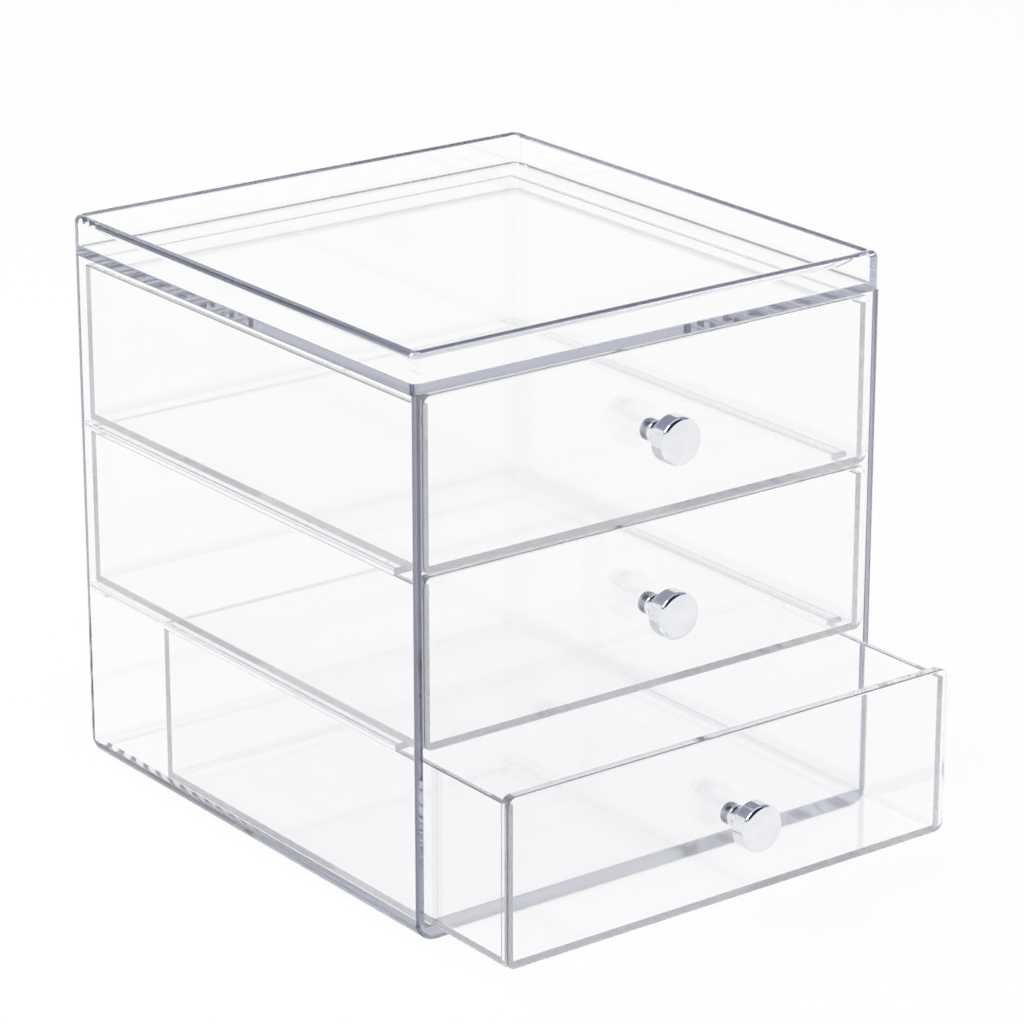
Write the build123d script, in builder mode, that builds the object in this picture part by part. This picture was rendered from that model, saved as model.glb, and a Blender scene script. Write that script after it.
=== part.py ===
from build123d import *
import os

os.makedirs("parts", exist_ok=True)

# Casing: a clear moulded box with a floor, two sides and a back, open at the front and the top
CASE_WIDTH = 164.0
CASE_DEPTH = 172.0
CASE_WALL = 2.5
CASE_FLOOR = 5.0
CASE_FOOT_ROUND = 7.0
CASE_ROUND = 3.8
CASE_INNER_ROUND = 0.4
CASE_MOUTH_ROUND = 1.0
CASE_MOUTH_INNER_ROUND = 0.3

# Top tray: a plate with a low rim all round, bonded on the casing's upper edges
TRAY_PLATE = 2.25
TRAY_RIM_HEIGHT = 9.4
TRAY_RIM_WALL = 2.5
TRAY_FRONT_CORNER = 2.2
TRAY_INNER_CORNER = 1.2
TRAY_FLOOR_ROUND = 0.5
TRAY_TOP_ROUND = 2.1
TRAY_LIP_ROUND = 0.25
TRAY_SEAM_ROUND = 0.3

# Runners: two pairs of flat strips on the inner sides, which carry the middle and upper drawers
RUNNER_BEARING = 4.4
RUNNER_THICKNESS = 2.0
RUNNER_SETBACK = 11.0
RUNNER_ROUND = 0.4

# Drawers: three equal mouldings, each an open tray behind a taller and wider front panel
PANEL_HEIGHT = 50.6
PANEL_THICKNESS = 3.0
PANEL_CORNER = 3.0
PANEL_FRONT_ROUND = 0.6
PANEL_LIFT = 0.2
DRAWER_WALL = 2.0
DRAWER_FLOOR = 2.0
DRAWER_ROUND = 1.2
DRAWER_INNER_ROUND = 0.4
DRAWER_LIP_ROUND = 0.4
DRAWER_PULLED = 37.5

# Knobs: turned and plated, with a bead at the panel, a neck and a drum-shaped head
KNOB_BEAD_LENGTH = 1.4
KNOB_BEAD_STEP = 0.15
KNOB_BEAD_BULGE = 0.3
KNOB_NECK_LENGTH = 5.2
KNOB_NECK_WALL = 0.85
KNOB_HEAD_LENGTH = 5.8
KNOB_HEAD_RADIUS = 7.0
KNOB_HEAD_REAR_ROUND = 0.6
KNOB_HEAD_FRONT_ROUND = 1.3
KNOB_FACE_WALL = 4.0

# Screws: one pan-head machine screw for each knob, driven from inside the drawer
SCREW_RADIUS = 2.0
SCREW_HEAD_OVERHANG = 1.2
SCREW_HEAD_SIDE = 1.0
SCREW_HEAD_DOME = 1.4
SCREW_RECESS_LENGTH = 4.0
SCREW_RECESS_WIDTH = 0.9
SCREW_RECESS_DEPTH = 1.3

# Clearances: running gaps, and the thin film where a piece is bonded or screwed on
RUN_GAP = 0.3
BOND_GAP = 0.05
SEAT_GAP = 0.05
PANEL_SIDE_GAP = 0.5
PANEL_SEAM = 0.7
DRAWER_SIDE_GAP = 1.4
DRAWER_HEAD_GAP = 0.8
BACK_GAP = 0.8
HEAD_GAP = 0.6
HEEL_GAP = 0.2
SCREW_HOLE_GAP = 0.25
SCREW_THREAD_GAP = 0.05
SCREW_TIP_GAP = 2.0

# Places worked out from the sizes above, with the front towards -Y and the floor's underside at Z = 0
front_y = -CASE_DEPTH / 2
back_y = CASE_DEPTH / 2
inner_width = CASE_WIDTH - 2 * CASE_WALL
inner_back_y = back_y - CASE_WALL
level_pitch = PANEL_HEIGHT + PANEL_SEAM
lowest_under = CASE_FLOOR + RUN_GAP
lowest_panel = lowest_under + PANEL_LIFT
shell_height = lowest_panel + 2 * level_pitch + PANEL_HEIGHT + HEAD_GAP
panel_width = inner_width - 2 * PANEL_SIDE_GAP
panel_back_y = front_y + PANEL_THICKNESS
drawer_width = inner_width - 2 * DRAWER_SIDE_GAP
drawer_height = level_pitch - RUNNER_THICKNESS - RUN_GAP - DRAWER_HEAD_GAP
drawer_back_y = inner_back_y - BACK_GAP
drawer_depth = drawer_back_y - panel_back_y
LEVELS = {
    "lower": {"step": 0, "pulled": DRAWER_PULLED},
    "middle": {"step": 1, "pulled": 0.0},
    "upper": {"step": 2, "pulled": 0.0},
}

# Casing shell: a block with its foot and back edges rounded, hollowed from the front and the top
with BuildPart() as casing:
    with BuildSketch():
        Rectangle(CASE_WIDTH, CASE_DEPTH)
    extrude(amount=shell_height)
    fillet(casing.edges().filter_by(Axis.Y).group_by(Axis.Z)[0], CASE_FOOT_ROUND)
    fillet(casing.faces().sort_by(Axis.Y)[-1].edges().sort_by(Axis.Z)[:-1], CASE_ROUND)
    with BuildSketch(Plane.XY.offset(CASE_FLOOR)):
        with Locations((0, -CASE_WALL)):
            Rectangle(inner_width, CASE_DEPTH)
    extrude(amount=shell_height, mode=Mode.SUBTRACT)
    hollow_back = casing.faces().filter_by(Axis.Y).sort_by(Axis.Y)[-2]
    hollow_floor = casing.faces().filter_by(Axis.Z).sort_by(Axis.Z)[1]
    hollow_edges = hollow_back.edges().sort_by(Axis.Z)[:-1] + hollow_floor.edges().filter_by(Axis.Y)
    fillet(hollow_edges, CASE_INNER_ROUND)
    side_x = inner_width / 2 + CASE_MOUTH_INNER_ROUND
    below_floor = CASE_FLOOR - CASE_MOUTH_INNER_ROUND
    below_top = shell_height - CASE_MOUTH_INNER_ROUND
    outer_mouth = casing.faces().sort_by(Axis.Y)[0].edges().filter_by(
        lambda edge: (abs(edge.center().X) > side_x or edge.center().Z < below_floor)
        and edge.center().Z < below_top
    )
    fillet(outer_mouth, CASE_MOUTH_ROUND)
    inner_mouth = casing.faces().sort_by(Axis.Y)[0].edges().filter_by(
        lambda edge: abs(edge.center().X) < side_x and below_floor < edge.center().Z < below_top
    )
    fillet(inner_mouth, CASE_MOUTH_INNER_ROUND)
casing.part.label = "casing"
export_step(casing.part, "parts/casing.step")

# Top tray: a solid block with rounded corners, with its recess cut from above
tray_under = shell_height + BOND_GAP
with BuildPart() as top_tray:
    with BuildSketch(Plane.XY.offset(tray_under)) as tray_outline:
        Rectangle(CASE_WIDTH, CASE_DEPTH)
        fillet(tray_outline.vertices().group_by(Axis.Y)[0], TRAY_FRONT_CORNER)
        fillet(tray_outline.vertices().group_by(Axis.Y)[-1], CASE_ROUND)
    extrude(amount=TRAY_PLATE + TRAY_RIM_HEIGHT)
    with BuildSketch(Plane.XY.offset(tray_under + TRAY_PLATE)):
        RectangleRounded(
            CASE_WIDTH - 2 * TRAY_RIM_WALL,
            CASE_DEPTH - 2 * TRAY_RIM_WALL,
            TRAY_INNER_CORNER,
        )
    extrude(amount=TRAY_RIM_HEIGHT, mode=Mode.SUBTRACT)
    recess_floor = top_tray.faces().filter_by(Axis.Z).sort_by(Axis.Z)[1]
    fillet(recess_floor.edges(), TRAY_FLOOR_ROUND)
    fillet(top_tray.faces().sort_by(Axis.Z)[-1].outer_wire().edges(), TRAY_TOP_ROUND)
    fillet(top_tray.faces().sort_by(Axis.Z)[-1].inner_wires()[0].edges(), TRAY_LIP_ROUND)
    fillet(top_tray.faces().sort_by(Axis.Z)[0].edges(), TRAY_SEAM_ROUND)
top_tray.part.label = "top_tray"
export_step(top_tray.part, "parts/top_tray.step")

# Runners: flat strips from short of the front to the back wall, one pair under each upper drawer
runner_width = DRAWER_SIDE_GAP + RUNNER_BEARING - BOND_GAP
runner_front_y = front_y + RUNNER_SETBACK
runner_length = inner_back_y - BOND_GAP - runner_front_y
for level in ("middle", "upper"):
    runner_top = CASE_FLOOR + LEVELS[level]["step"] * level_pitch
    for side, sign in (("left", -1), ("right", 1)):
        runner_x = sign * ((inner_width - runner_width) / 2 - BOND_GAP)
        with BuildPart() as runner:
            with BuildSketch(Plane.XY.offset(runner_top - RUNNER_THICKNESS)):
                with Locations((runner_x, runner_front_y + runner_length / 2)):
                    Rectangle(runner_width, runner_length)
            extrude(amount=RUNNER_THICKNESS)
            free_edges = runner.edges().filter_by(Axis.Y).sort_by(lambda edge: abs(edge.center().X))[:2]
            fillet(free_edges, RUNNER_ROUND)
            heel = runner.edges().filter_by(Axis.Z).group_by(Axis.Y)[-1]
            fillet(heel.sort_by(lambda edge: abs(edge.center().X))[-1], CASE_INNER_ROUND + HEEL_GAP)
        runner.part.label = f"runner_{level}_{side}"
        export_step(runner.part, f"parts/runner_{level}_{side}.step")

# Knob and screw sizes that follow from each other and from the panel
thread_radius = SCREW_RADIUS + SCREW_THREAD_GAP
neck_radius = thread_radius + KNOB_NECK_WALL
bead_edge_radius = neck_radius + KNOB_BEAD_STEP
bead_radius = bead_edge_radius + KNOB_BEAD_BULGE
knob_length = KNOB_BEAD_LENGTH + KNOB_NECK_LENGTH + KNOB_HEAD_LENGTH
hole_depth = knob_length - KNOB_FACE_WALL
screw_length = PANEL_THICKNESS + hole_depth - SCREW_TIP_GAP
screw_head_radius = SCREW_RADIUS + SCREW_HEAD_OVERHANG
screw_head_height = SCREW_HEAD_SIDE + SCREW_HEAD_DOME

# Drawers, knobs and screws, one set for each level
for level, place in LEVELS.items():
    under = lowest_under + place["step"] * level_pitch
    panel_low = lowest_panel + place["step"] * level_pitch
    knob_z = panel_low + PANEL_HEIGHT / 2
    panel_front = front_y - place["pulled"]
    panel_rear = panel_back_y - place["pulled"]
    drawer_rear = drawer_back_y - place["pulled"]

    # Drawer: the tray's outside, its hollow, then the front panel with the screw's hole
    with BuildPart() as drawer:
        with BuildSketch(Plane.XY.offset(under)):
            with Locations((0, (panel_rear + drawer_rear) / 2)):
                Rectangle(drawer_width, drawer_depth)
        extrude(amount=drawer_height)
        foot_edges = drawer.faces().sort_by(Axis.Z)[0].edges().sort_by(Axis.Y)[1:]
        back_uprights = drawer.edges().filter_by(Axis.Z).group_by(Axis.Y)[-1]
        fillet(foot_edges + back_uprights, DRAWER_ROUND)
        with BuildSketch(Plane.XY.offset(under + DRAWER_FLOOR)):
            with Locations((0, (panel_rear + drawer_rear) / 2 - DRAWER_WALL)):
                Rectangle(drawer_width - 2 * DRAWER_WALL, drawer_depth)
        extrude(amount=drawer_height, mode=Mode.SUBTRACT)
        hollow_back = drawer.faces().filter_by(Axis.Y).sort_by(Axis.Y)[-2]
        hollow_floor = drawer.faces().filter_by(Axis.Z).sort_by(Axis.Z)[1]
        hollow_edges = hollow_back.edges().sort_by(Axis.Z)[:-1] + hollow_floor.edges().filter_by(Axis.Y)
        fillet(hollow_edges, DRAWER_INNER_ROUND)
        lip = drawer.faces().sort_by(Axis.Z)[-1]
        fillet(lip.edges().filter_by(lambda edge: edge.center().Y > panel_rear), DRAWER_LIP_ROUND)
        with BuildSketch(Plane.XZ.offset(-panel_rear)):
            with Locations((0, panel_low + PANEL_HEIGHT / 2)):
                RectangleRounded(panel_width, PANEL_HEIGHT, PANEL_CORNER)
        extrude(amount=PANEL_THICKNESS)
        fillet(drawer.faces().sort_by(Axis.Y)[0].edges(), PANEL_FRONT_ROUND)
        with BuildSketch(Plane.XZ.offset(-panel_rear)):
            with Locations((0, knob_z)):
                Circle(SCREW_RADIUS + SCREW_HOLE_GAP)
        extrude(amount=PANEL_THICKNESS, mode=Mode.SUBTRACT)
    drawer.part.label = f"drawer_{level}"
    export_step(drawer.part, f"parts/drawer_{level}.step")

    # Knob: one half profile from the panel outwards, turned about the screw's axis
    knob_seat_y = panel_front - SEAT_GAP
    bead_end_y = knob_seat_y - KNOB_BEAD_LENGTH
    neck_end_y = bead_end_y - KNOB_NECK_LENGTH
    rim_y = knob_seat_y - knob_length
    hole_end_y = knob_seat_y - hole_depth
    face_radius = KNOB_HEAD_RADIUS - KNOB_HEAD_FRONT_ROUND
    with BuildPart() as knob:
        with BuildSketch(Plane.XY.offset(knob_z)):
            with BuildLine():
                Line((thread_radius, knob_seat_y), (bead_edge_radius, knob_seat_y))
                ThreePointArc(
                    (bead_edge_radius, knob_seat_y),
                    (bead_radius, knob_seat_y - KNOB_BEAD_LENGTH / 2),
                    (bead_edge_radius, bead_end_y),
                )
                Polyline(
                    (bead_edge_radius, bead_end_y),
                    (neck_radius, bead_end_y),
                    (neck_radius, neck_end_y),
                    (KNOB_HEAD_RADIUS - KNOB_HEAD_REAR_ROUND, neck_end_y),
                )
                TangentArc(
                    (KNOB_HEAD_RADIUS - KNOB_HEAD_REAR_ROUND, neck_end_y),
                    (KNOB_HEAD_RADIUS, neck_end_y - KNOB_HEAD_REAR_ROUND),
                    tangent=(1, 0),
                )
                Line(
                    (KNOB_HEAD_RADIUS, neck_end_y - KNOB_HEAD_REAR_ROUND),
                    (KNOB_HEAD_RADIUS, rim_y + KNOB_HEAD_FRONT_ROUND),
                )
                TangentArc(
                    (KNOB_HEAD_RADIUS, rim_y + KNOB_HEAD_FRONT_ROUND),
                    (face_radius, rim_y),
                    tangent=(0, -1),
                )
                Polyline(
                    (face_radius, rim_y),
                    (0, rim_y),
                    (0, hole_end_y),
                    (thread_radius, hole_end_y),
                    (thread_radius, knob_seat_y),
                )
            make_face()
        revolve(axis=Axis((0, 0, knob_z), (0, 1, 0)))
    knob.part.label = f"knob_{level}"
    export_step(knob.part, f"parts/knob_{level}.step")

    # Screw: a domed pan head inside the drawer, a plain shank through the panel and a cross recess
    head_seat_y = panel_rear + SEAT_GAP
    head_side_y = head_seat_y + SCREW_HEAD_SIDE
    head_top_y = head_seat_y + screw_head_height
    tip_y = head_seat_y - screw_length
    with BuildPart() as screw:
        with BuildSketch(Plane.XY.offset(knob_z)):
            with BuildLine():
                Polyline(
                    (0, head_top_y),
                    (0, tip_y),
                    (SCREW_RADIUS, tip_y),
                    (SCREW_RADIUS, head_seat_y),
                    (screw_head_radius, head_seat_y),
                    (screw_head_radius, head_side_y),
                )
                ThreePointArc(
                    (screw_head_radius, head_side_y),
                    (screw_head_radius / 2, head_top_y - SCREW_HEAD_DOME / 4),
                    (0, head_top_y),
                )
            make_face()
        revolve(axis=Axis((0, 0, knob_z), (0, 1, 0)))
        with BuildSketch(Plane.XZ.offset(-head_top_y)):
            with Locations((0, knob_z)):
                Rectangle(SCREW_RECESS_LENGTH, SCREW_RECESS_WIDTH)
                Rectangle(SCREW_RECESS_WIDTH, SCREW_RECESS_LENGTH)
        extrude(amount=SCREW_RECESS_DEPTH, mode=Mode.SUBTRACT)
    screw.part.label = f"screw_{level}"
    export_step(screw.part, f"parts/screw_{level}.step")
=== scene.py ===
import math
import bpy
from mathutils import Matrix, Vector

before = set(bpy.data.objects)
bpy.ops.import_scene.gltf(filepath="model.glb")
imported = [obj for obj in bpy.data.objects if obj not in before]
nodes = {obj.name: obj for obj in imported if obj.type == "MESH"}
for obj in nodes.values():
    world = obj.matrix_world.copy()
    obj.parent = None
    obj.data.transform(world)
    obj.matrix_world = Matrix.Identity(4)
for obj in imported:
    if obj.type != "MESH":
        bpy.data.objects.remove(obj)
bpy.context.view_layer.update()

# Casing: floor, two sides and back, moulded in one piece from clear polystyrene.
# The polished mould leaves a glossy skin with a slow swell and a breath of haze, and the trace
# of violet toner in the resin only shows where light runs a long way inside, along the edges.
MM = 0.001
SWELL_WIDTH = 60 * MM
SWELL_DEPTH = 0.02 * MM
POLYSTYRENE_IOR = 1.59
CASING_TONER = 5.0
CASING_TINT = "#8088aa"
CASING_HAZE = 0.015


def linear(hex_colour):
    channels = [int(hex_colour[i:i + 2], 16) / 255 for i in (1, 3, 5)]
    return [c / 12.92 if c <= 0.04045 else ((c + 0.055) / 1.055) ** 2.4 for c in channels] + [1.0]


def add_node(tree, kind, settings=None, inputs=None, links=None):
    node = tree.nodes.new(kind)
    for name, value in (settings or {}).items():
        setattr(node, name, value)
    for name, value in (inputs or {}).items():
        node.inputs[name].default_value = value
    for name, source in (links or {}).items():
        tree.links.new(source, node.inputs[name])
    return node


def empty_material(name):
    material = bpy.data.materials.new(name)
    material.use_nodes = True
    material.node_tree.nodes.clear()
    return material, material.node_tree


# Clear polystyrene gives the eye a bright, heavy glass: strong glints, and softly tinted edges.
# A lamp's rays pass it almost unbent, so the box throws only a pale shadow.
def clear_polystyrene(name, toner, tint, haze):
    material, tree = empty_material(name)
    place = add_node(tree, "ShaderNodeTexCoord")
    swell = add_node(
        tree,
        "ShaderNodeTexNoise",
        inputs={"Scale": 1 / SWELL_WIDTH, "Detail": 1.0, "Roughness": 0.4},
        links={"Vector": place.outputs["Object"]},
    )
    skin = add_node(
        tree,
        "ShaderNodeBump",
        inputs={"Strength": 1.0, "Distance": SWELL_DEPTH},
        links={"Height": swell.outputs["Fac"]},
    )
    plastic = add_node(
        tree,
        "ShaderNodeBsdfPrincipled",
        inputs={
            "Base Color": linear("#ffffff"),
            "Roughness": haze,
            "IOR": POLYSTYRENE_IOR,
            "Transmission Weight": 1.0,
        },
        links={"Normal": skin.outputs["Normal"]},
    )
    lamp_way = add_node(tree, "ShaderNodeBsdfTransparent", inputs={"Color": linear("#f4f4f7")})
    path = add_node(tree, "ShaderNodeLightPath")
    surface = add_node(
        tree,
        "ShaderNodeMixShader",
        links={0: path.outputs["Is Shadow Ray"], 1: plastic.outputs["BSDF"], 2: lamp_way.outputs["BSDF"]},
    )
    depth = add_node(
        tree,
        "ShaderNodeVolumeAbsorption",
        inputs={"Color": linear(tint), "Density": toner},
    )
    add_node(
        tree,
        "ShaderNodeOutputMaterial",
        links={"Surface": surface.outputs["Shader"], "Volume": depth.outputs["Volume"]},
    )
    return material


casing_plastic = clear_polystyrene("clear_polystyrene_casing", CASING_TONER, CASING_TINT, CASING_HAZE)
nodes["casing"].material_slots[0].material = casing_plastic

# Top tray: a plate with a low rim, moulded from the same clear polystyrene as the casing
# and bonded on the casing's upper edges, so its plate shows as one lavender band.
nodes["top_tray"].material_slots[0].material = casing_plastic

# Runners: four flat strips cut from the same clear plastic, bonded to the casing's inner
# sides below the two upper drawers. They show as fine lines through the walls.
for level in ("middle", "upper"):
    for side in ("left", "right"):
        nodes[f"runner_{level}_{side}"].material_slots[0].material = casing_plastic

# Drawers: each is an open tray behind a taller front panel, one clear moulding.
# Their thinner walls carry less toner, of a greyer tint than the casing's, and their mould is
# polished a little less, which softens their edges.
DRAWER_TONER = 3.0
DRAWER_TINT = "#8c8b95"
DRAWER_HAZE = 0.045
LEVELS = ("lower", "middle", "upper")
drawer_plastic = clear_polystyrene("clear_polystyrene_drawer", DRAWER_TONER, DRAWER_TINT, DRAWER_HAZE)
for level in LEVELS:
    nodes[f"drawer_{level}"].material_slots[0].material = drawer_plastic

# Knobs: small drums turned from zinc alloy, buffed and plated with bright chromium.
# Each one stands on a short neck and bead, and its screw pulls it against the panel.
HAZE_WIDTH = 7 * MM
BUFF_WIDTH = 0.6 * MM
CHROMIUM_GLOSS = (0.02, 0.08)


# Bright chromium mirrors the white table and the dark room, with a faint haze from buffing.
def bright_chromium():
    material, tree = empty_material("bright_chromium_plating")
    place = add_node(tree, "ShaderNodeTexCoord")
    haze = add_node(
        tree,
        "ShaderNodeTexNoise",
        inputs={"Scale": 1 / HAZE_WIDTH, "Detail": 2.0},
        links={"Vector": place.outputs["Object"]},
    )
    buffed = add_node(
        tree,
        "ShaderNodeTexNoise",
        inputs={"Scale": 1 / BUFF_WIDTH, "Detail": 3.0},
        links={"Vector": place.outputs["Object"]},
    )
    colour = add_node(
        tree,
        "ShaderNodeMix",
        {"data_type": "RGBA"},
        inputs={6: linear("#e0e2e7"), 7: linear("#f4f5f7")},
        links={0: haze.outputs["Fac"]},
    )
    gloss = add_node(
        tree,
        "ShaderNodeMapRange",
        inputs={"To Min": CHROMIUM_GLOSS[0], "To Max": CHROMIUM_GLOSS[1]},
        links={"Value": buffed.outputs["Fac"]},
    )
    shell = add_node(
        tree,
        "ShaderNodeBsdfPrincipled",
        inputs={"Metallic": 1.0},
        links={"Base Color": colour.outputs[2], "Roughness": gloss.outputs["Result"]},
    )
    add_node(tree, "ShaderNodeOutputMaterial", links={"Surface": shell.outputs["BSDF"]})
    return material


chromium = bright_chromium()
for level in LEVELS:
    nodes[f"knob_{level}"].material_slots[0].material = chromium

# Knob screws: pan-head steel machine screws, zinc plated, driven through each front panel
# from inside the drawer. Their heads show dimly through the panel behind the knob's neck.
SPANGLE_WIDTH = 0.7 * MM
ZINC_GLOSS = (0.24, 0.36)


# Zinc plating is a soft blue-grey metal, mottled where its crystals grew.
def zinc_plated_steel():
    material, tree = empty_material("zinc_plated_steel")
    place = add_node(tree, "ShaderNodeTexCoord")
    spangle = add_node(
        tree,
        "ShaderNodeTexVoronoi",
        inputs={"Scale": 1 / SPANGLE_WIDTH},
        links={"Vector": place.outputs["Object"]},
    )
    colour = add_node(
        tree,
        "ShaderNodeMix",
        {"data_type": "RGBA"},
        inputs={6: linear("#a7abb4"), 7: linear("#c9ccd2")},
        links={0: spangle.outputs["Distance"]},
    )
    gloss = add_node(
        tree,
        "ShaderNodeMapRange",
        inputs={"To Min": ZINC_GLOSS[0], "To Max": ZINC_GLOSS[1]},
        links={"Value": spangle.outputs["Distance"]},
    )
    plating = add_node(
        tree,
        "ShaderNodeBsdfPrincipled",
        inputs={"Metallic": 1.0},
        links={"Base Color": colour.outputs[2], "Roughness": gloss.outputs["Result"]},
    )
    add_node(tree, "ShaderNodeOutputMaterial", links={"Surface": plating.outputs["BSDF"]})
    return material


zinc = zinc_plated_steel()
for level in LEVELS:
    nodes[f"screw_{level}"].material_slots[0].material = zinc

# Table: a wide board painted matt white, a hair below the box's underside.
# It glows just enough to meet the white of the picture, and keeps the object's soft shadow.
TABLE_HALF = 6.0
TABLE_DROP = 0.2 * MM
TABLE_GLOW = 0.86
SHADE_SHARE = 0.18


# Two factors joined by one operation.
def combine(tree, operation, first, second):
    both = add_node(tree, "ShaderNodeMath", {"operation": operation}, links={0: first, 1: second})
    return both.outputs["Value"]


# One where a ray comes from the eye, a mirror or a clear wall, and zero for scattered light.
def seen_rays(tree, path):
    shiny = combine(tree, "MAXIMUM", path.outputs["Is Glossy Ray"], path.outputs["Is Transmission Ray"])
    return combine(tree, "MAXIMUM", path.outputs["Is Camera Ray"], shiny)


table_mesh = bpy.data.meshes.new("table")
table_corners = [
    (x * TABLE_HALF, y * TABLE_HALF, -TABLE_DROP)
    for x, y in ((-1, -1), (1, -1), (1, 1), (-1, 1))
]
table_mesh.from_pydata(table_corners, [], [(0, 1, 2, 3)])
table = bpy.data.objects.new("table", table_mesh)
bpy.context.scene.collection.objects.link(table)
table_paint, tree = empty_material("white_table_paint")
seen = seen_rays(tree, add_node(tree, "ShaderNodeLightPath"))
board = add_node(tree, "ShaderNodeBsdfDiffuse", inputs={"Color": linear("#e6e6e6")})
shade = add_node(
    tree,
    "ShaderNodeBsdfDiffuse",
    inputs={"Color": (SHADE_SHARE, SHADE_SHARE, SHADE_SHARE, 1)},
)
glow = add_node(
    tree,
    "ShaderNodeEmission",
    inputs={"Color": linear("#ffffff"), "Strength": TABLE_GLOW},
)
white = add_node(
    tree,
    "ShaderNodeAddShader",
    links={0: shade.outputs["BSDF"], 1: glow.outputs["Emission"]},
)
shown = add_node(
    tree,
    "ShaderNodeMixShader",
    links={0: seen, 1: board.outputs["BSDF"], 2: white.outputs["Shader"]},
)
add_node(tree, "ShaderNodeOutputMaterial", links={"Surface": shown.outputs["Shader"]})
table_mesh.materials.append(table_paint)

# Studio: white low down all round and overhead, with a dim ring of wall between them and the
# dark room above the drawer side. The knobs' rims and the plastic's rounded edges mirror these as
# grey and dark lines. Scattered light takes an even white, and the eye sees plain white.
STUDIO_FILL = 0.55
RING_RISE = (0.42, 0.50)
ROOM_AIM = (0.0, -0.60, 0.80)
ROOM_REACH = (0.76, 0.86)
OVERHEAD = (0.94, 0.82)


# A soft step from 0 to 1 as a direction's height or side goes from start to end.
def soft_step(tree, source, start, end):
    step = add_node(
        tree,
        "ShaderNodeMapRange",
        {"interpolation_type": "SMOOTHSTEP"},
        inputs={"From Min": start, "From Max": end},
        links={"Value": source},
    )
    return step.outputs["Result"]


studio = bpy.data.worlds.new("white_studio")
bpy.context.scene.world = studio
studio.use_nodes = True
tree = studio.node_tree
tree.nodes.clear()
sky_place = add_node(tree, "ShaderNodeTexCoord")
sky = add_node(tree, "ShaderNodeSeparateXYZ", links={"Vector": sky_place.outputs["Object"]})
below_overhead = soft_step(tree, sky.outputs["Z"], *OVERHEAD)
in_ring = combine(tree, "MULTIPLY", soft_step(tree, sky.outputs["Z"], *RING_RISE), below_overhead)
room_side = add_node(
    tree,
    "ShaderNodeVectorMath",
    {"operation": "DOT_PRODUCT"},
    inputs={1: ROOM_AIM},
    links={0: sky_place.outputs["Object"]},
)
in_room = soft_step(tree, room_side.outputs["Value"], *ROOM_REACH)
dim = add_node(
    tree,
    "ShaderNodeMix",
    {"data_type": "RGBA"},
    inputs={6: linear("#ffffff"), 7: linear("#9298ae")},
    links={0: in_ring},
)
dark = add_node(
    tree,
    "ShaderNodeMix",
    {"data_type": "RGBA"},
    inputs={7: linear("#2c3550")},
    links={0: in_room, 6: dim.outputs[2]},
)
path = add_node(tree, "ShaderNodeLightPath")
seen = seen_rays(tree, path)
plain = add_node(
    tree,
    "ShaderNodeMix",
    {"data_type": "RGBA"},
    inputs={7: linear("#ffffff")},
    links={0: path.outputs["Is Camera Ray"], 6: dark.outputs[2]},
)
sight = add_node(
    tree,
    "ShaderNodeMix",
    {"data_type": "RGBA"},
    inputs={6: [STUDIO_FILL, STUDIO_FILL, STUDIO_FILL, 1]},
    links={0: seen, 7: plain.outputs[2]},
)
backdrop = add_node(tree, "ShaderNodeBackground", links={"Color": sight.outputs[2]})
add_node(tree, "ShaderNodeOutputWorld", links={"Surface": backdrop.outputs["Background"]})

# Softbox: one wide square lamp high on the left, aimed at the middle of the box.
# It lays the soft shadow on the table and the broad glints on the plastic.
LAMP_SIDE = 1.0
LAMP_POWER = 14.0
LAMP_PLACE = (-1.1, 0.3, 1.6)
LAMP_TARGET = (0, 0, 80 * MM)
lamp_data = bpy.data.lights.new("softbox", "AREA")
lamp_data.shape = "SQUARE"
lamp_data.size = LAMP_SIDE
lamp_data.energy = LAMP_POWER
lamp = bpy.data.objects.new("softbox", lamp_data)
lamp.location = LAMP_PLACE
lamp_aim = Vector(LAMP_TARGET) - Vector(LAMP_PLACE)
lamp.rotation_euler = lamp_aim.to_track_quat("-Z", "Y").to_euler()
bpy.context.scene.collection.objects.link(lamp)

# Camera: a long lens at the photograph's place and angle, worked out from where the box's
# corners lie there. It looks at the near upright edge, slightly from above.
IMAGE_SIDE = 1024
FOCAL_PIXELS = 4320
SENSOR_WIDTH = 36.0
CLIP_START = 0.05
VIEW_AZIMUTH = math.radians(-36.978)
VIEW_ELEVATION = math.radians(19.523)
CAMERA_PLACE = (-713.06 * MM, -967.5 * MM, 511.36 * MM)
camera_data = bpy.data.cameras.new("camera")
camera_data.sensor_width = SENSOR_WIDTH
camera_data.lens = FOCAL_PIXELS * SENSOR_WIDTH / IMAGE_SIDE
camera_data.clip_start = CLIP_START
camera = bpy.data.objects.new("camera", camera_data)
camera.location = CAMERA_PLACE
camera_look = Vector((
    -math.sin(VIEW_AZIMUTH) * math.cos(VIEW_ELEVATION),
    math.cos(VIEW_AZIMUTH) * math.cos(VIEW_ELEVATION),
    -math.sin(VIEW_ELEVATION),
))
camera.rotation_euler = camera_look.to_track_quat("-Z", "Y").to_euler()
bpy.context.scene.collection.objects.link(camera)
bpy.context.scene.camera = camera

# Light has to pass many clear walls, so it may turn often before it is given up.
LIGHT_TURNS = 128
SHADOW_WALLS = 32
scene = bpy.context.scene
scene.view_settings.view_transform = "Standard"
scene.cycles.max_bounces = LIGHT_TURNS
scene.cycles.transmission_bounces = LIGHT_TURNS
scene.cycles.glossy_bounces = LIGHT_TURNS
scene.cycles.transparent_max_bounces = SHADOW_WALLS
